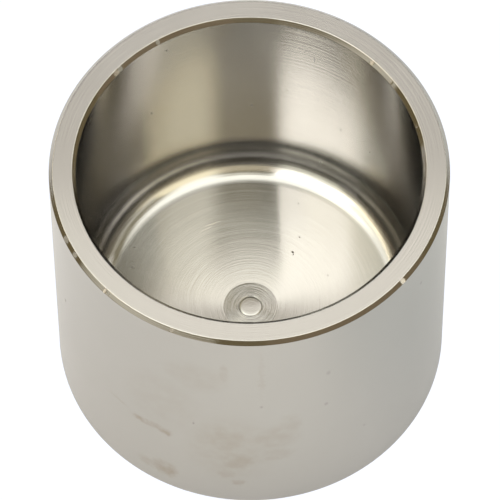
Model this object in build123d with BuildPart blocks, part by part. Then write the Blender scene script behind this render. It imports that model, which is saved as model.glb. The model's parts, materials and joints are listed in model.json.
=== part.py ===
from build123d import *

import os
from math import asin, cos, degrees, radians, sqrt, tan

# Brake caliper piston: a plain straight-sided cup, turned from one bar of stainless steel.
# It stands on its closed end with its mouth up. Its axis is Z, and all sizes are in millimetres.

# Outside of the cup
outside_diameter = 41.3
length = 35.0
closed_end_chamfer = 0.5
rim_chamfer = 0.4

# Inside of the cup; the floor falls in a shallow cone to its middle, at so many degrees
wall = 2.8
mouth_chamfer = 0.4
floor_thickness = 5.6
floor_slope = 3.1
corner_radius = 3.25
corner_relief = 0.04

# Middle of the floor, where the boring tool stopped short of the axis
collar_diameter = 5.8
collar_rise = 0.06
pip_diameter = 2.3
pip_dome = 0.025
pip_groove_width = 0.14
pip_groove_depth = 0.05

# Radii that follow from the sizes above
outside_radius = outside_diameter / 2
bore_radius = outside_radius - wall
collar_radius = collar_diameter / 2
pip_radius = pip_diameter / 2
groove_middle = pip_radius + pip_groove_width / 2
groove_radius = pip_radius + pip_groove_width

# Heights above the closed end that follow from the sizes above
floor_fall = tan(radians(floor_slope))
collar_foot = floor_thickness + collar_radius * floor_fall
collar_top = collar_foot + collar_rise
groove_bottom = collar_top - pip_groove_depth

# The round corner runs out of the floor without an edge. It cuts a hair into the wall of the
# bore, so it meets the wall in a fine crease a little above its own centre.
corner_middle = bore_radius + corner_relief - corner_radius
corner_level = floor_thickness + corner_middle * floor_fall + corner_radius / cos(radians(floor_slope))
crease_rise = sqrt(corner_radius**2 - (bore_radius - corner_middle) ** 2)
corner_start = floor_slope - 90
corner_sweep = degrees(asin(crease_rise / corner_radius)) - corner_start

with BuildPart() as piston:
    # The bar, at full diameter and full length
    Cylinder(outside_radius, length, align=(Align.CENTER, Align.CENTER, Align.MIN))

    # Half section of the hollow: the pip on the axis, its fine vee groove, the raised collar
    # round it, the floor, the round corner, and the wall of the bore up to the mouth
    with BuildSketch(Plane.XZ) as hollow:
        with BuildLine():
            pip_crown = (0, collar_top + pip_dome)
            pip_edge = (pip_radius, collar_top)
            TangentArc(pip_crown, pip_edge, tangent=(1, 0))
            corner = CenterArc((corner_middle, corner_level), corner_radius, corner_start, corner_sweep)
            Polyline(
                pip_edge,
                (groove_middle, groove_bottom),
                (groove_radius, collar_top),
                (collar_radius, collar_foot),
                corner @ 0,
            )
            Polyline(
                corner @ 1,
                (bore_radius, length),
                (0, length),
                pip_crown,
            )
        make_face()
    revolve(axis=Axis.Z, mode=Mode.SUBTRACT)

    # Both edges of the rim are broken with a small chamfer
    rim_edges = piston.faces().sort_by(Axis.Z)[-1].edges().sort_by(SortBy.RADIUS)
    chamfer(rim_edges[0], mouth_chamfer)
    chamfer(rim_edges[-1], rim_chamfer)

    # A wider chamfer leads the closed end in past the seal
    closed_end_edge = piston.faces().sort_by(Axis.Z)[0].edges()
    chamfer(closed_end_edge, closed_end_chamfer)

piston.part.label = "piston"

os.makedirs("parts", exist_ok=True)
export_step(piston.part, "parts/piston.step")
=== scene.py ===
# %% [markdown]
# # A brake caliper piston
#
# The real piston is a plain cup of bright metal, taken to be stainless steel, turned on a lathe
# in one piece. It has no paint and no pattern: all that the eye sees is what the metal mirrors,
# pulled into streaks by the fine rings that the tool left. So this lesson has three parts. A
# lathe section is spun into one fine mesh, each turned surface gets its own grain, and the room
# round the cup is built with care, because the metal shows it back.
#
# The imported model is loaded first. It fixes the sizes, and everything else is placed by it.

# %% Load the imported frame
import json
import math
from collections import namedtuple

import bpy
from mathutils import Matrix, Vector


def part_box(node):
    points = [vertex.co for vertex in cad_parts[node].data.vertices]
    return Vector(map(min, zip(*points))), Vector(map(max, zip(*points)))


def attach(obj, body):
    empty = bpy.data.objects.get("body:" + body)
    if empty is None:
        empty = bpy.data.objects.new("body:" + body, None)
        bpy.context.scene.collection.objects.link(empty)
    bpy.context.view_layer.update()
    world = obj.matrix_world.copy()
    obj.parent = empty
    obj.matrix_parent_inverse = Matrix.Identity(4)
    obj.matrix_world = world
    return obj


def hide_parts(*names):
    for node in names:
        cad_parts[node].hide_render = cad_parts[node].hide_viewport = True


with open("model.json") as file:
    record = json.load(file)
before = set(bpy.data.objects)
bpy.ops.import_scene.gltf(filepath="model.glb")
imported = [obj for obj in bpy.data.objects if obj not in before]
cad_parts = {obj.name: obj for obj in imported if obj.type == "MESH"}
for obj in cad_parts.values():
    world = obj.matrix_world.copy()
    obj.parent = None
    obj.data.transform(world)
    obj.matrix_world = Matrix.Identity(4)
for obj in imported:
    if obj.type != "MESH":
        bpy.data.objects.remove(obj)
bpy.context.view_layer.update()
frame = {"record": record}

MM = 0.001
mounts = {mount["name"]: mount for mount in frame["record"]["mounts"]}
outside_radius = mounts["outer_wall"]["dims"]["r_mm"]
bore_radius = mounts["cup"]["dims"]["r_mm"]
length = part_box("piston")[1].z / MM
print(f"cup: {2 * outside_radius:.1f} mm across, {length:.1f} mm long, bore {2 * bore_radius:.1f} mm")

# %% [markdown]
# ## The section that the lathe cuts
#
# A turned part is a section spun round its axis, so the section is all that has to be drawn. The
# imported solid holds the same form, but with about 120 flats round it, and a mirror-bright bore
# would show each one. A finer skin over the same section keeps the reflections smooth. It is
# drawn here from the same sizes as the solid, in millimetres, and adds what the solid leaves out:
# every real edge is a little round, and that is where a thin line of light sits.

# %% Sizes of the section
closed_end_chamfer = 0.5
rim_chamfer = 0.4
mouth_chamfer = 0.4
floor_thickness = 5.6
floor_slope = math.radians(3.1)
corner_radius = 3.25
corner_relief = 0.04
collar_radius = 2.9
collar_rise = 0.06
pip_radius = 1.15
pip_dome = 0.025
pip_groove_width = 0.14
pip_groove_depth = 0.05
edge_rounding = 0.06

floor_fall = math.tan(floor_slope)
collar_foot = floor_thickness + collar_radius * floor_fall
collar_top = collar_foot + collar_rise
groove_bottom = collar_top - pip_groove_depth
groove_middle = pip_radius + pip_groove_width / 2
groove_radius = pip_radius + pip_groove_width
print(f"floor {floor_thickness:.2f} mm thick in the middle, collar top at {collar_top:.2f} mm")

# %% [markdown]
# A corner of the section is a point, how much it is rounded, and the finish of the run that
# leaves it. Runs are cut into pieces that get shorter towards their ends. Those short pieces hold
# the shading of a flat face flat right up to its edge, as a modeller's holding loops do.

# %% Corners, and the path through them
Corner = namedtuple("Corner", "radius height rounding finish pieces arc_pieces", defaults=(4,))
Station = namedtuple("Station", "radius height finish")


def path_through(corners):
    """Stations along straight runs, with an arc at each corner that is rounded."""
    points = [Vector((corner.radius, corner.height)) for corner in corners]
    arcs = []
    for number, corner in enumerate(corners):
        here = points[number]
        if not corner.rounding or number in (0, len(corners) - 1):
            arcs.append([here])
            continue
        arrive = (here - points[number - 1]).normalized()
        leave = (points[number + 1] - here).normalized()
        turn = arrive.angle_signed(leave)
        cut = corner.rounding * math.tan(abs(turn) / 2)
        start = here - arrive * cut
        side = Vector((-arrive.y, arrive.x)) * (-1 if turn > 0 else 1)
        centre = start + side * corner.rounding
        arc = []
        for step in range(corner.arc_pieces + 1):
            spoke = start - centre
            spoke.rotate(Matrix.Rotation(-turn * step / corner.arc_pieces, 2))
            arc.append(centre + spoke)
        arcs.append(arc)

    stations = []
    for number, corner in enumerate(corners):
        before = corners[max(number - 1, 0)].finish
        arc = arcs[number]
        for step, point in enumerate(arc[:-1]):
            nearer = before if step < len(arc) // 2 else corner.finish
            stations.append(Station(point.x, point.y, nearer))
        start = arc[-1]
        if number == len(corners) - 1:
            stations.append(Station(start.x, start.y, corner.finish))
            continue
        end = arcs[number + 1][0]
        for piece in range(corner.pieces):
            share = (1 - math.cos(math.pi * piece / corner.pieces)) / 2
            point = start.lerp(end, share)
            stations.append(Station(point.x, point.y, corner.finish))
    return stations


# %% [markdown]
# The large round corner between the floor and the bore is the nose of the boring tool, left in
# the metal. In the photo its upper edge is a crisp dark line on the wall, too crisp for an arc
# that runs smoothly out of it. So the arc runs a hair past the bore, and meets the wall in a
# crease.

# %% The round corner inside
corner_middle = bore_radius + corner_relief - corner_radius
corner_level = floor_thickness + corner_middle * floor_fall + corner_radius / math.cos(floor_slope)
corner_start = floor_slope - math.pi / 2
corner_end = math.acos((bore_radius - corner_middle) / corner_radius)
crease_height = corner_level + corner_radius * math.sin(corner_end)
corner_pieces = 32
corner_arc = []
for piece in range(corner_pieces):
    turn = corner_start + (corner_end - corner_start) * piece / corner_pieces
    radius = corner_middle + corner_radius * math.cos(turn)
    corner_arc.append(Station(radius, corner_level + corner_radius * math.sin(turn), "corner"))
print(f"the corner meets the bore {crease_height:.2f} mm above the closed end")

# %% [markdown]
# The walk starts on the axis, in the middle of the floor. It crosses the pip and its fine groove,
# runs out over the floor, climbs the bore, goes over the rim and down the outer wall, and ends on
# the axis again under the closed end.

# %% The section of the cup
dome_rings = 6
pip = []
for ring in range(dome_rings):
    share = ring / dome_rings
    pip.append(Station(pip_radius * share, collar_top + pip_dome * (1 - share**2), "pip"))

fine_rounding = 0.03
collar_rounding = 0.1
floor_path = path_through([
    Corner(pip_radius, collar_top, 0, "pip", 3),
    Corner(groove_middle, groove_bottom, 0, "pip", 3),
    Corner(groove_radius, collar_top, fine_rounding, "collar", 6, 3),
    Corner(collar_radius, collar_foot, collar_rounding, "floor", 22, 3),
    Corner(corner_arc[0].radius, corner_arc[0].height, 0, "corner", 0),
])
wall_path = path_through([
    Corner(bore_radius, crease_height, 0, "bore", 22),
    Corner(bore_radius, length - mouth_chamfer, edge_rounding, "mouth", 5),
    Corner(bore_radius + mouth_chamfer, length, edge_rounding, "rim", 8),
    Corner(outside_radius - rim_chamfer, length, edge_rounding, "edge", 5),
    Corner(outside_radius, length - rim_chamfer, edge_rounding, "wall", 22),
    Corner(outside_radius, closed_end_chamfer, edge_rounding, "foot", 4),
    Corner(outside_radius - closed_end_chamfer, 0, edge_rounding, "base", 8),
    Corner(0, 0, 0, "base", 1),
])
section = pip + floor_path[:-1] + corner_arc + wall_path
print(f"{len(section)} stations from the floor's middle to the middle of the closed end")

# %% [markdown]
# ## Spinning the section
#
# Each station becomes a ring of points, and rings are joined by quads. The axis has one point at
# each end, so the middle of the floor and of the closed end close with thin triangles. The
# texture layout is made at the same time: the way round the cup runs across the picture, and the
# way along the section runs up it. A turned mark then lies straight along one row of pixels.

# %% Spin the section into a mesh
facets = 512
margin = 0.006


def way_along(stations):
    """How far along the section each station lies, from 0 to 1."""
    steps = [
        math.dist((a.radius, a.height), (b.radius, b.height))
        for a, b in zip(stations, stations[1:])
    ]
    total = sum(steps)
    ways = [0.0]
    for step in steps:
        ways.append(ways[-1] + step / total)
    return ways


def spin(name, stations):
    """A closed mesh of revolution; its faces keep the finish of their station."""
    finishes = sorted({station.finish for station in stations})
    points = [(0, 0, stations[0].height * MM)]
    for station in stations[1:-1]:
        for facet in range(facets):
            angle = math.tau * facet / facets
            points.append((
                station.radius * MM * math.cos(angle),
                station.radius * MM * math.sin(angle),
                station.height * MM,
            ))
    points.append((0, 0, stations[-1].height * MM))
    last_ring = len(stations) - 2
    ways = [margin + way * (1 - 2 * margin) for way in way_along(stations)]

    faces, slots, layout = [], [], []
    for ring in range(last_ring + 1):
        for facet in range(facets):
            beside = (facet + 1) % facets
            left = margin + (1 - 2 * margin) * facet / facets
            right = margin + (1 - 2 * margin) * (facet + 1) / facets
            middle = (left + right) / 2
            low, high = ways[ring], ways[ring + 1]
            inner, outer = 1 + (ring - 1) * facets, 1 + ring * facets
            if ring == 0:
                faces.append((0, outer + beside, outer + facet)[::-1])
                layout += [(left, high), (right, high), (middle, low)]
            elif ring == last_ring:
                faces.append((inner + facet, inner + beside, len(points) - 1)[::-1])
                layout += [(middle, high), (right, low), (left, low)]
            else:
                faces.append((inner + facet, outer + facet, outer + beside, inner + beside))
                layout += [(left, low), (left, high), (right, high), (right, low)]
            slots.append(finishes.index(stations[ring].finish))

    mesh = bpy.data.meshes.new(name)
    mesh.from_pydata(points, [], faces)
    mesh.uv_layers.new(name="OFBake").data.foreach_set("uv", [n for uv in layout for n in uv])
    mesh.polygons.foreach_set("material_index", slots)
    mesh.polygons.foreach_set("use_smooth", [True] * len(faces))
    mesh.update()
    piece = bpy.data.objects.new(name, mesh)
    bpy.context.scene.collection.objects.link(piece)
    return piece, finishes


cup, finishes = spin("piston_skin", section)
print(f"{len(cup.data.polygons)} faces in {len(finishes)} finishes: {', '.join(finishes)}")

# %% [markdown]
# ## Shader maths
#
# A finish is mostly sums: how far round, how far along, how rough here, how dark there. Written
# as nodes one by one, such sums are hard to read. So one small class wraps a socket. Adding or
# multiplying wrapped sockets adds the Math nodes, and every other node comes from one method.

# %% A socket that can be used in sums
class Shade:
    """An output socket of a node tree, with the operators that the finishes use."""

    def __init__(self, tree, socket=None):
        self.tree = tree
        self.socket = socket

    def node(self, kind, settings=None, inputs=None, output=0):
        """Adds a node: its settings first, then values or links for its sockets."""
        made = self.tree.nodes.new("ShaderNode" + kind)
        for name, value in (settings or {}).items():
            setattr(made, name, value)
        for name, value in (inputs or {}).items():
            if isinstance(value, Shade):
                self.tree.links.new(value.socket, made.inputs[name])
            else:
                made.inputs[name].default_value = value
        return Shade(self.tree, made.outputs[output])

    def beside(self, name):
        """Another output of the same node."""
        return Shade(self.tree, self.socket.node.outputs[name])

    def math(self, operation, first, second=0.0):
        return self.node("Math", {"operation": operation}, {0: first, 1: second})

    def __add__(self, other):
        return self.math("ADD", self, other)

    __radd__ = __add__

    def __mul__(self, other):
        return self.math("MULTIPLY", self, other)

    __rmul__ = __mul__

    def __sub__(self, other):
        return self.math("SUBTRACT", self, other)

    def __rsub__(self, other):
        return self.math("SUBTRACT", other, self)

    def __truediv__(self, other):
        return self.math("DIVIDE", self, other)

    def __pow__(self, other):
        return self.math("POWER", self, other)

    def at_least(self, other):
        return self.math("MAXIMUM", self, other)

    def between(self, low, high):
        """0 below low, 1 above high, and a smooth rise from one to the other."""
        return self.node(
            "MapRange", {"interpolation_type": "SMOOTHSTEP"}, {0: self, 1: low, 2: high}
        )

    def falling(self, low, high):
        return 1 - self.between(low, high)

    def blend(self, first, second):
        """A mix of two colours, with this value as the share of the second."""
        settings = {"data_type": "RGBA"}
        return self.node("Mix", settings, {0: self, 6: first, 7: second}, output=2)


# %% [markdown]
# ## Where a point lies, as a turner sees it
#
# Every mark of the lathe runs round the axis. So the grain needs two numbers: the way round, and
# the way across the rings. The way round is given by the two parts of a unit arrow, because an
# angle would jump where it starts again. Across the rings, height and radius both count, so their
# sum serves the floor, the round corner and the bore alike, and their difference the outside.

# %% Way round, and way across the rings
def turner_place(shade, inside):
    """The unit arrow from the axis, and the way across the rings in millimetres."""
    place = shade.node("TexCoord", output="Object")
    x = shade.node("SeparateXYZ", inputs={0: place})
    y, z = x.beside("Y"), x.beside("Z")
    radius = (x * x + y * y) ** 0.5
    across = (radius + z) / MM if inside else (radius - z) / MM
    return place, (x / radius, y / radius), across


def ring_noise(shade, arrow, across, per_mm, round_pieces):
    """Noise drawn out round the axis: many rings to the millimetre, few changes on the way round."""
    vector = shade.node("CombineXYZ", inputs={
        0: arrow[0] * round_pieces, 1: arrow[1] * round_pieces, 2: across * per_mm,
    })
    return shade.node("TexNoise", inputs={
        "Vector": vector, "Scale": 1.0, "Detail": 2.0, "Roughness": 0.6,
    })


# %% [markdown]
# ## Small marks
#
# The real piston has been handled: it has smudges on its wall, specks of dirt in the cup and
# nicks in its rim. The near-white face of each nick is a painted glint, and the dark spots on the
# two rim chamfers are painted shade. Each mark is a flattened ball round a point, laid along the
# surface. Where a point of the surface lies inside the ball, the mark shows. A little noise frays its
# outline.

# %% A mark is a flattened ball
Mark = namedtuple("Mark", "angle radius height size strength tilt", defaults=(1.0, 0.0))
mark_core = 0.4
fray_scale = 2200.0


def frayed_place(shade, place, amount):
    """The place, pushed about a little by fine noise; amount is in millimetres."""
    fray = shade.node("TexNoise", inputs={"Vector": place, "Scale": fray_scale, "Detail": 3.0})
    sway = shade.node("VectorMath", {"operation": "SUBTRACT"}, {
        0: fray.beside("Color"), 1: (0.5, 0.5, 0.5),
    })
    return shade.node("VectorMath", {"operation": "MULTIPLY_ADD"}, {
        0: sway, 1: (2 * amount * MM,) * 3, 2: place,
    })


def mark_mask(shade, frayed, mark):
    """1 in the mark's core, fading to 0 at its edge. Its size is round, out and up, in mm."""
    angle = math.radians(mark.angle)
    spot = Vector((mark.radius * math.cos(angle), mark.radius * math.sin(angle), mark.height))
    local = shade.node("Mapping", {"vector_type": "TEXTURE"}, {
        "Vector": frayed,
        "Location": spot * MM,
        "Rotation": (0, math.radians(mark.tilt), angle - math.pi / 2),
        "Scale": Vector(mark.size) * MM,
    })
    distance = shade.node("VectorMath", {"operation": "LENGTH"}, {0: local}, output="Value")
    return distance.falling(mark_core, 1.0) * mark.strength


def all_marks(shade, place, chosen, fray):
    """A list of marks as one mask."""
    if not chosen:
        return None
    frayed = frayed_place(shade, place, fray)
    total = mark_mask(shade, frayed, chosen[0])
    for mark in chosen[1:]:
        total = total.at_least(mark_mask(shade, frayed, mark))
    return total


# %% [markdown]
# The marks are listed by the face that carries them. Dirt is dark, dull and not metal. The dark
# spots listed under the mouth and the edge, the two chamfers, are painted shade in the same dark
# colour: they darken the chamfers where they mirror dark parts of the room, two of them beside a
# nick. A smudge is a thin film of grease that browns the steel a little, in patches. A nick is a
# small dent, and its near-white face is a painted glint where the dent catches the light. Each line
# gives a mark's angle round the cup in degrees, its radius and height in millimetres, its size, and
# where they differ from 1 and 0, its strength and its tilt.

# %% The marks on each face
wall_out = outside_radius
edge_out = outside_radius - rim_chamfer / 2
mouth_out = bore_radius + mouth_chamfer / 2
chamfer_height = length - rim_chamfer / 2

dirt_and_shade_marks = {
    "floor": [
        Mark(54.7, 7.96, 6.03, (0.20, 0.14, 0.3)),
        Mark(53.2, 7.75, 6.03, (0.08, 0.16, 0.3), 0.8),
        Mark(66.9, 13.48, 6.33, (0.08, 0.09, 0.3), 0.8),
        Mark(57.2, 9.87, 6.13, (0.14, 0.09, 0.3), 0.75),
        Mark(23.1, 9.06, 6.09, (0.20, 0.15, 0.3), 0.12),
        Mark(160.2, 13.47, 6.33, (0.09, 0.26, 0.3), 0.6),
        Mark(150.6, 14.30, 6.37, (0.07, 0.20, 0.3), 0.5),
    ],
    "corner": [Mark(64.3, 17.66, 8.9, (0.16, 0.3, 0.16), 0.7)],
    "bore": [
        Mark(89.0, bore_radius, 17.93, (0.15, 0.3, 0.13), 0.8),
        Mark(76.3, bore_radius, 25.42, (0.08, 0.3, 0.12), 0.6),
        Mark(76.8, bore_radius, 21.65, (0.12, 0.3, 0.25), 0.12),
        Mark(67.1, bore_radius, 29.35, (0.12, 0.3, 0.90), 0.15),
        Mark(43.9, bore_radius, 17.04, (0.15, 0.3, 0.20), 0.35),
        Mark(56.7, bore_radius, 17.48, (0.15, 0.3, 0.30), 0.25),
        Mark(125.2, bore_radius, 21.85, (0.18, 0.3, 0.20), 0.55),
        Mark(118.6, bore_radius, 32.73, (0.12, 0.3, 0.22), 0.5),
        Mark(118.5, bore_radius, 29.22, (0.10, 0.3, 0.15), 0.4),
        Mark(109.2, bore_radius, 11.20, (0.14, 0.3, 0.10), 0.35),
        Mark(116.1, bore_radius, 11.27, (0.12, 0.3, 0.10), 0.35),
    ],
    "wall": [
        Mark(-87.1, wall_out, 21.46, (0.22, 0.5, 0.35), 0.10),
        Mark(-107.0, wall_out, 16.42, (0.16, 0.5, 0.30), 0.16),
        Mark(-67.4, wall_out, 25.90, (0.35, 0.5, 0.60), 0.07),
        Mark(-67.9, wall_out, 19.33, (0.28, 0.5, 0.45), 0.09),
        Mark(-55.1, wall_out, 10.40, (0.18, 0.5, 0.25), 0.10),
        Mark(-159.1, wall_out, 20.69, (0.24, 0.5, 0.40), 0.35),
        Mark(-32.0, wall_out, 30.09, (0.22, 0.5, 0.35), 0.16),
    ],
    # Painted shade, not dirt: dark spots where the mouth chamfer mirrors dark parts of the room.
    "mouth": [
        Mark(137.5, mouth_out, chamfer_height, (0.40, 0.4, 0.4), 0.5),
        Mark(121.4, mouth_out, chamfer_height, (0.30, 0.4, 0.4), 0.5),
    ],
    # Painted shade, not dirt: dark spots on the outer chamfer, one beside a painted glint.
    "edge": [
        Mark(-134.9, edge_out, chamfer_height, (0.22, 0.4, 0.4), 0.5),
        Mark(-156.5, edge_out, chamfer_height, (0.60, 0.4, 0.4), 0.5),
        Mark(-150.8, edge_out, chamfer_height, (0.50, 0.4, 0.4), 0.4),
    ],
}
smudge_marks = {
    "wall": [
        Mark(-87.1, wall_out, 28.0, (0.40, 0.6, 6.6), 0.20),
        Mark(-121.0, wall_out, 12.6, (3.00, 1.5, 0.85), 0.8, 4),
        Mark(-115.8, wall_out, 12.2, (0.90, 1.0, 0.80), 0.75),
        Mark(-133.0, wall_out, 13.6, (2.20, 1.0, 0.30), 0.35, -8),
        Mark(-116.5, wall_out, 4.0, (1.90, 1.2, 2.20), 0.8),
        Mark(-122.5, wall_out, 3.6, (1.60, 1.0, 1.20), 0.45),
        Mark(-96.0, wall_out, 12.0, (6.50, 1.6, 9.00), 0.22),
        Mark(-97.5, wall_out, 14.0, (3.00, 1.2, 4.20), 0.40),
        Mark(-94.5, wall_out, 9.5, (2.80, 1.2, 2.80), 0.50),
        Mark(-97.5, wall_out, 6.3, (1.60, 1.0, 1.30), 0.35),
        Mark(-94.0, wall_out, 4.6, (1.00, 1.0, 0.90), 0.45),
        Mark(-83.5, wall_out, 14.5, (3.60, 1.2, 3.40), 0.32),
        Mark(-79.0, wall_out, 17.0, (1.80, 1.0, 2.60), 0.25),
        Mark(-84.2, wall_out, 10.7, (3.20, 1.0, 1.80), 0.30),
        Mark(-97.9, wall_out, 28.4, (0.70, 0.8, 2.40), 0.30),
        Mark(-106.5, wall_out, 26.5, (4.60, 1.0, 3.80), 0.18),
        Mark(-117.0, wall_out, 19.0, (6.00, 1.4, 7.00), 0.14),
    ],
}
# Nicks dent the bump, and their near-white colour is a painted glint.
nick_and_glint_marks = {
    "edge": [
        Mark(-40.7, edge_out, chamfer_height, (0.42, 0.5, 0.5)),
        Mark(-136.2, edge_out, chamfer_height, (0.22, 0.4, 0.4), 0.6),
        Mark(-113.0, edge_out, chamfer_height, (0.30, 0.4, 0.4), 0.3),
    ],
    "mouth": [
        Mark(139.5, mouth_out, chamfer_height, (0.50, 0.5, 0.5), 0.4),
        Mark(44.6, mouth_out, chamfer_height, (0.34, 0.5, 0.5), 0.45),
        Mark(35.0, mouth_out, chamfer_height, (0.30, 0.5, 0.5), 0.2),
        Mark(40.5, mouth_out, chamfer_height, (0.25, 0.5, 0.5), 0.15),
        Mark(16.3, mouth_out, chamfer_height, (0.30, 0.5, 0.5), 0.25),
    ],
    "floor": [
        Mark(111.5, 10.75, 6.18, (1.10, 0.05, 0.3), 0.25),
        Mark(117.0, 10.45, 6.17, (0.90, 0.05, 0.3), 0.18),
    ],
}
for kind, by_face in (("dirt", dirt_and_shade_marks), ("smudges", smudge_marks), ("nicks", nick_and_glint_marks)):
    print(f"{kind}: {sum(len(marks) for marks in by_face.values())}")

# %% [markdown]
# ## Turned stainless steel
#
# All of the cup is one metal, but each face was cut in its own way. The outer wall is ground
# smooth, because it slides in a seal. The bore and the floor were only turned, so their fine
# rings pull every light into streaks. In the shader that pull is anisotropy: the highlight is
# narrow round the cup and long across the rings. The rings that can be seen one by one are a bump
# map. Broad faint clouds in the roughness stand for the places where the tool cut a little
# better or a little worse.
#
# A finish says how many rings there are to the millimetre. Strokes are finer rings that break off
# on the way round, and a higher number makes them shorter. Unevenness is how much the roughness
# changes from ring to ring, and cloud is how much it changes over the face.
#
# Two more numbers set how much light a face gives back. Its tone scales the colour of the steel.
# Its glancing number scales the shine at a low angle, where light only skims the metal, and 1
# leaves it as it is. That left the sides of the bore lighter than the real ones, so the bore has
# about half. Ridges that shade one another may be the reason.

# %% The finishes of the steel
Finish = namedtuple(
    "Finish",
    "inside roughness unevenness anisotropy rings ring_height strokes stroke_height cloud tone "
    "glancing",
    defaults=(1.0, 1.0),
)
steel_finishes = {
    "wall": Finish(False, 0.11, 0.05, 0.5, 4.0, 0.02, 5.0, 0.01, 0.03),
    "edge": Finish(False, 0.10, 0.10, 0.8, 6.0, 0.05, 3.0, 0.03, 0.10),
    "rim": Finish(True, 0.15, 0.08, 0.85, 7.0, 0.03, 3.0, 0.02, 0.06, 0.88),
    "mouth": Finish(True, 0.10, 0.10, 0.8, 6.0, 0.05, 3.0, 0.03, 0.10),
    "bore": Finish(True, 0.11, 0.14, 1.00, 3.0, 0.08, 6.0, 0.02, 0.12, 0.90, 0.48),
    "corner": Finish(True, 0.15, 0.10, 0.95, 3.0, 0.10, 2.0, 0.05, 0.05, 0.92),
    "floor": Finish(True, 0.16, 0.20, 1.00, 6.0, 0.06, 2.0, 0.03, 0.08, 0.95),
    "collar": Finish(True, 0.20, 0.25, 1.00, 10.0, 0.45, 2.0, 0.05, 0.05, 0.69),
    "pip": Finish(True, 0.22, 0.10, 0.3, 6.0, 0.10, 2.0, 0.03, 0.25, 0.78),
    "foot": Finish(False, 0.15, 0.10, 0.8, 6.0, 0.08, 3.0, 0.03, 0.10),
    "base": Finish(False, 0.20, 0.12, 0.9, 5.0, 0.30, 2.0, 0.10, 0.10),
}
for face, finish in steel_finishes.items():
    print(f"{face}: roughness {finish.roughness:.2f}, pulled by {finish.anisotropy:.2f}")

# %% [markdown]
# The marks go over the steel one kind after another. Each kind is a mask from 0 to 1, and the mask
# carries the colour, the roughness and the bump over from clean steel to the mark. Only the dirt and
# the painted shade on the chamfers stop the surface from being metal. The near-white of a nick is a
# painted glint.

# %% Marks laid over clean steel
greasy_steel = (0.46, 0.41, 0.335, 1.0)
# Near-white steel for a nick's face: a painted glint.
painted_glint_steel = (0.90, 0.84, 0.80, 1.0)
# Dark colour for real dirt, and for the painted shade on the two chamfers.
grime_and_shade = (0.06, 0.045, 0.03, 1.0)
smudge_fray = 0.6
fine_fray = 0.08
patch_scale = 700.0
patch_from = 0.12
patch_to = 0.72
smudge_dulling = 0.05
nick_dulling = 0.35
nick_depth = 0.5
dirt_and_shade_dulling = 0.5
dirt_and_shade_cover = 0.9


def with_marks(shade, face, place, colour, roughness, height):
    """Colour, roughness, height and metal of the steel, with the marks of one face on it."""
    metal = None
    smudge = all_marks(shade, place, smudge_marks.get(face), smudge_fray)
    if smudge:
        patches = shade.node("TexNoise", inputs={
            "Vector": place, "Scale": patch_scale, "Detail": 4.0,
        })
        smudge = smudge * patches.between(patch_from, patch_to)
        colour = smudge.blend(colour, greasy_steel)
        roughness = roughness + smudge * smudge_dulling
    # A nick dents the surface, and its near-white colour is a painted glint.
    nick_and_glint = all_marks(shade, place, nick_and_glint_marks.get(face), fine_fray)
    if nick_and_glint:
        colour = nick_and_glint.blend(colour, painted_glint_steel)
        roughness = roughness + nick_and_glint * nick_dulling
        height = height - nick_and_glint * nick_depth
    # Real dirt, and painted shade on the chamfers: dark, dull and mostly not metal.
    dirt = all_marks(shade, place, dirt_and_shade_marks.get(face), fine_fray)
    if dirt:
        colour = dirt.blend(colour, grime_and_shade)
        roughness = roughness + dirt * dirt_and_shade_dulling
        metal = 1 - dirt * dirt_and_shade_cover
    return colour, roughness, height, metal


# %% [markdown]
# What is the same all over a face is set on the shader's own sockets. Only the colour, the
# roughness, the metal and the bump come from nodes. A turned face pulls its highlight across the
# rings, so the way of the pull is given a quarter turn.

# %% From a finish to a material
bright_steel = (0.615, 0.605, 0.595)
dull_steel = (0.595, 0.585, 0.570)
quarter_turn = 0.25
bump_height = 0.1
cloud_scale = 160.0
ring_pieces = 0.6
stroke_share = 0.5


def turned_steel(face, finish):
    """Steel with the rings, strokes and clouds of one turned face, and its marks."""
    material = bpy.data.materials.new("steel_" + face)
    material.use_nodes = True
    tree = material.node_tree
    shader = tree.nodes["Principled BSDF"]
    shade = Shade(tree)
    place, arrow, across = turner_place(shade, finish.inside)

    rings = ring_noise(shade, arrow, across, finish.rings, ring_pieces)
    strokes = ring_noise(shade, arrow, across, 2 * finish.rings, finish.strokes)
    clouds = shade.node("TexNoise", inputs={"Vector": place, "Scale": cloud_scale, "Detail": 2.0})
    height = rings * finish.ring_height + strokes * finish.stroke_height
    roughness = finish.roughness * (
        1 + (rings - 0.5) * (2 * finish.unevenness) + (clouds - 0.5) * (4 * finish.cloud)
    )
    dull, bright = (
        (*(finish.tone * part for part in steel), 1) for steel in (dull_steel, bright_steel)
    )
    colour = (clouds + (strokes - 0.5) * stroke_share).blend(dull, bright)
    colour, roughness, height, metal = with_marks(
        shade, face, place, colour, roughness, height
    )
    if metal:
        tree.links.new(metal.socket, shader.inputs["Metallic"])
    else:
        shader.inputs["Metallic"].default_value = 1.0
    bump = shade.node("Bump", inputs={
        "Strength": 1.0, "Distance": bump_height * MM, "Height": height,
    }, output="Normal")

    shader.inputs["Anisotropic"].default_value = finish.anisotropy
    shader.inputs["Anisotropic Rotation"].default_value = quarter_turn
    shader.inputs["Specular Tint"].default_value = (*([finish.glancing] * 3), 1.0)
    tree.links.new(colour.socket, shader.inputs["Base Color"])
    tree.links.new(roughness.socket, shader.inputs["Roughness"])
    tree.links.new(bump.socket, shader.inputs["Normal"])
    return material


for face in finishes:
    cup.data.materials.append(turned_steel(face, steel_finishes[face]))
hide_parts("piston")
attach(cup, "root")
print(f"{len(cup.data.materials)} steel finishes on the cup")

# %% [markdown]
# ## The table
#
# Bright metal has hardly any colour of its own, so the room makes the picture. First comes the
# table, which the outer wall shows back. It is a plain round top, a hair below the cup so that the
# two faces don't flicker.

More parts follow.
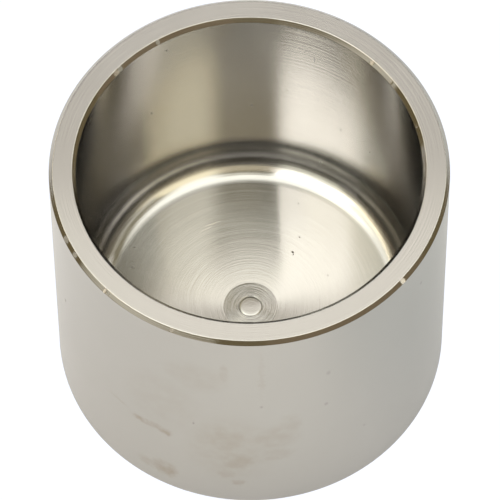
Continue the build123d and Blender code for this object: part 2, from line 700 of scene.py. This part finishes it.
# %% The table
tabletop = bpy.data.meshes.new("table_top")
table_radius = 2.5
table_sides = 64
table_drop = 0.02
table_edge = []
for side in range(table_sides):
    angle = math.tau * side / table_sides
    table_edge.append((table_radius * math.cos(angle), table_radius * math.sin(angle), 0))
tabletop.from_pydata(table_edge, [], [tuple(range(table_sides))])
table = bpy.data.objects.new("table_top", tabletop)
table.location.z = -table_drop * MM
bpy.context.scene.collection.objects.link(table)
print(f"table {2 * table_radius:.0f} m across, {table_drop} mm below the cup")

# %% [markdown]
# The table has two looks. To the camera it is almost pure white, as an overexposed sheet is. To the
# cup it is a matt sheet with a faint glow and a painted shadow: its colour is darker on the right,
# in place of the soft shade that the cup casts there, and the outer wall shows that back. From below
# it can't be seen, so it never hides the closed end.

# %% The white of the table
bright_side = (0.60, 0.60, 0.64, 1.0)
# The darker colour below is a painted shadow on the cup's right, standing in for the cup's cast
# shade.
painted_shadow_side = (0.475, 0.49, 0.52, 1.0)
shadow_from = 12
shadow_to = 34
white_glow = (1.0, 1.03, 1.10, 1.0)
glow_strength = 1.03
glow_to_camera = 0.97
glow_to_cup = 0.15

white = bpy.data.materials.new("white_table")
white.use_nodes = True
white.node_tree.nodes.clear()
shade = Shade(white.node_tree)
spot = shade.node("SeparateXYZ", inputs={0: shade.node("TexCoord", output="Object")})
# Painted shadow: the sheet's colour turns from the bright side to the shadowed side between these
# distances right of the axis.
matt = shade.node("MixShader", inputs={
    0: spot.between(shadow_from * MM, shadow_to * MM),
    1: shade.node("BsdfDiffuse", inputs={"Color": bright_side}),
    2: shade.node("BsdfDiffuse", inputs={"Color": painted_shadow_side}),
})
glow = shade.node("Emission", inputs={"Color": white_glow, "Strength": glow_strength})
ray = shade.node("LightPath", output="Is Camera Ray")
share = ray * (glow_to_camera - glow_to_cup) + glow_to_cup
top = shade.node("MixShader", inputs={0: share, 1: matt, 2: glow})
below = shade.node("NewGeometry", output="Backfacing")
clear = shade.node("BsdfTransparent")
seen = shade.node("MixShader", inputs={0: below, 1: top, 2: clear})
out = white.node_tree.nodes.new("ShaderNodeOutputMaterial")
white.node_tree.links.new(seen.socket, out.inputs["Surface"])
tabletop.materials.append(white)
print(f"the table dims from {shadow_from} to {shadow_to} mm right of the cup's axis")

# %% [markdown]
# ## The room
#
# What the metal shows suggests a large soft light on the cup's left, a bright window wall on its
# right, a light ceiling, and a dark gap round the camera. Lamps would give small hard highlights,
# so the room is drawn straight into the world as patches of light in the sky. The patches were
# set by comparing tones with the photo, and are a likely room, not the real one.
#
# Bearing and height are in degrees: bearing 0 is right of the cup, 270 is on the camera's side, and
# low and high are measured up from the horizon. Side and soft are how gently a patch fades at its
# sides, and at its top and foot. Each patch lies over those above it in the list, and under them
# all the sky grows lighter towards its top.

# %% The patches of light
Panel = namedtuple("Panel", "name bearing half_width low high side soft colour")
panels = [
    Panel("window", 12, 48, 30, 42.5, 10, 1, (3.35, 3.4, 2.8)),
    Panel("back wall", 69, 47, 41, 53, 1.5, 1.5, (3.2, 3.2, 3.05)),
    Panel("gap over the window", 8, 41, 50, 62.5, 1, 1, (0.26, 0.22, 0.12)),
    Panel("gap at the back", 88, 36, 48, 60.5, 6, 2, (0.29, 0.26, 0.24)),
    Panel("over the gap", 88, 22, 59.5, 73, 8, 2, (1.72, 1.64, 1.46)),
    Panel("left wall", 165, 47, 37, 50, 8, 1, (3.9, 3.45, 2.4)),
    Panel("top of the key light", 190, 36, 61, 75, 8, 2.5, (3.2, 3.1, 2.5)),
    Panel("key light", 228, 31, 45.5, 67, 5, 3, (4.0, 3.85, 3.5)),
    Panel("right of the camera", 304, 30, 42, 59.5, 1.5, 3.5, (1.80, 1.62, 1.10)),
    Panel("shade over the camera", 261, 12, 57, 74, 1.2, 2, (0.15, 0.13, 0.07)),
    Panel("shade beside the camera", 280, 16, 57, 73, 10, 2, (0.28, 0.24, 0.13)),
    Panel("under the camera", 270, 20, 42, 58, 9, 2, (0.86, 0.75, 0.52)),
    Panel("low on the left", 220, 34, 15, 27, 1, 3.5, (0.75, 0.70, 0.56)),
    Panel("low at the back left", 143, 14, 9, 20, 2, 3.5, (2.35, 2.35, 2.3)),
    Panel("low on the right", 317, 40, 13, 35, 1.5, 4.5, (0.24, 0.18, 0.11)),
    Panel("low at the back", 93, 33, 6, 38, 3, 4, (0.0, 0.0, 0.0)),
]
print(f"{len(panels)} patches of light: {', '.join(panel.name for panel in panels)}")

# %% [markdown]
# To the camera the sky is plain white. Everything else sees the room.

# %% The world
low_sky = (0.18, 0.14, 0.07, 1.0)
high_sky = (2.15, 2.13, 1.9, 1.0)
low_rise = 29
high_rise = 74
white_sky = (1.0, 1.0, 1.0, 1.0)

world = bpy.data.worlds.new("room")
bpy.context.scene.world = world
world.use_nodes = True
world.node_tree.nodes.clear()
shade = Shade(world.node_tree)
x = shade.node("SeparateXYZ", inputs={0: shade.node("TexCoord", output="Generated")})
bearing = shade.math("ARCTAN2", x.beside("Y"), x) * math.degrees(1)
rise = shade.math("ARCSINE", x.beside("Z")) * math.degrees(1)
light = rise.between(low_rise, high_rise).blend(low_sky, high_sky)
for panel in panels:
    turn = shade.node("Math", {"operation": "WRAP"}, {0: bearing - panel.bearing, 1: 180, 2: -180})
    aside = shade.math("ABSOLUTE", turn)
    mask = aside.falling(panel.half_width - panel.side, panel.half_width + panel.side)
    mask = mask * rise.between(panel.low - panel.soft, panel.low + panel.soft)
    mask = mask * rise.falling(panel.high - panel.soft, panel.high + panel.soft)
    light = mask.blend(light, (*panel.colour, 1))
ray = shade.node("LightPath", output="Is Camera Ray")
light = ray.blend(light, white_sky)
sky = shade.node("Background", inputs={"Color": light, "Strength": 1.0})
out = world.node_tree.nodes.new("ShaderNodeOutputWorld")
world.node_tree.links.new(sky.socket, out.inputs["Surface"])
print(f"the sky grows lighter from {low_rise} to {high_rise} degrees")

# %% [markdown]
# ## The camera
#
# The cup was seen from 60 degrees above the table. The rim is nearer to the lens than the foot,
# so the outline narrows downwards, and by how much gives the camera's distance. Lengths are in
# millimetres: how high on the axis the camera aims, how far off it is, and its lens.

# %% The camera
aim_height = 17.98
distance = 602.4
elevation = math.radians(60.377)
roll = math.radians(-0.5)
lens = 411.67

look = Vector((0, math.cos(elevation), -math.sin(elevation)))
right = Vector((1, 0, 0))
up = right.cross(look)
across_frame = right * math.cos(roll) + up * math.sin(roll)
up_frame = up * math.cos(roll) - right * math.sin(roll)
camera = bpy.data.objects.new("camera", bpy.data.cameras.new("camera"))
camera.data.lens = lens
camera.data.sensor_width = 36
camera.data.clip_end = 20
place = Vector((0, 0, aim_height)) * MM - look * (distance * MM)
camera.matrix_world = Matrix.Translation(place) @ Matrix(
    (across_frame, up_frame, -look)
).transposed().to_4x4()
bpy.context.scene.collection.objects.link(camera)
bpy.context.scene.camera = camera
bpy.context.scene.view_settings.view_transform = "Standard"
print(f"camera at {tuple(round(c, 3) for c in place)} m")
